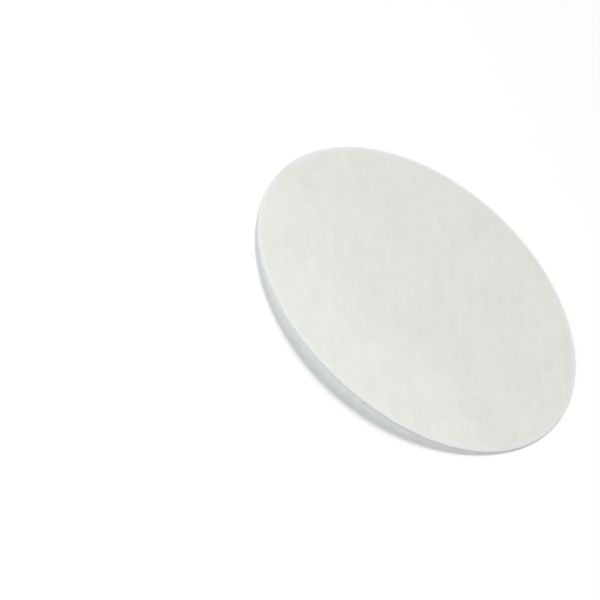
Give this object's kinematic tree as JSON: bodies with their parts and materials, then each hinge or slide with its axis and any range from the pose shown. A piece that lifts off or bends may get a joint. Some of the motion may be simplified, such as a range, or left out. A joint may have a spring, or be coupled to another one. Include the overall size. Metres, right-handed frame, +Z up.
{
  "type": "filter paper disc",
  "caption": "Round sheet of white laboratory filter paper with a plain die-cut edge and a faint curl, for straining solids out of a liquid in a funnel or dish.",
  "frame": {"origin": "middle of the disc's underside, on the surface that the disc lies on", "axes": "+Z up, out of the upper face; +X and +Y lie in the sheet; the freer margin rises in the direction 260 degrees anticlockwise from +X, and the opposite margin a little at 80 degrees"},
  "size_m": [0.09, 0.09, 0.0017],
  "materials": {
    "filter_paper": "matt uncoated paper with a faint cloudy mottle"
  },
  "bodies": {
    "root": {"filter_disc": "filter_paper"}
  },
  "joints": []
}
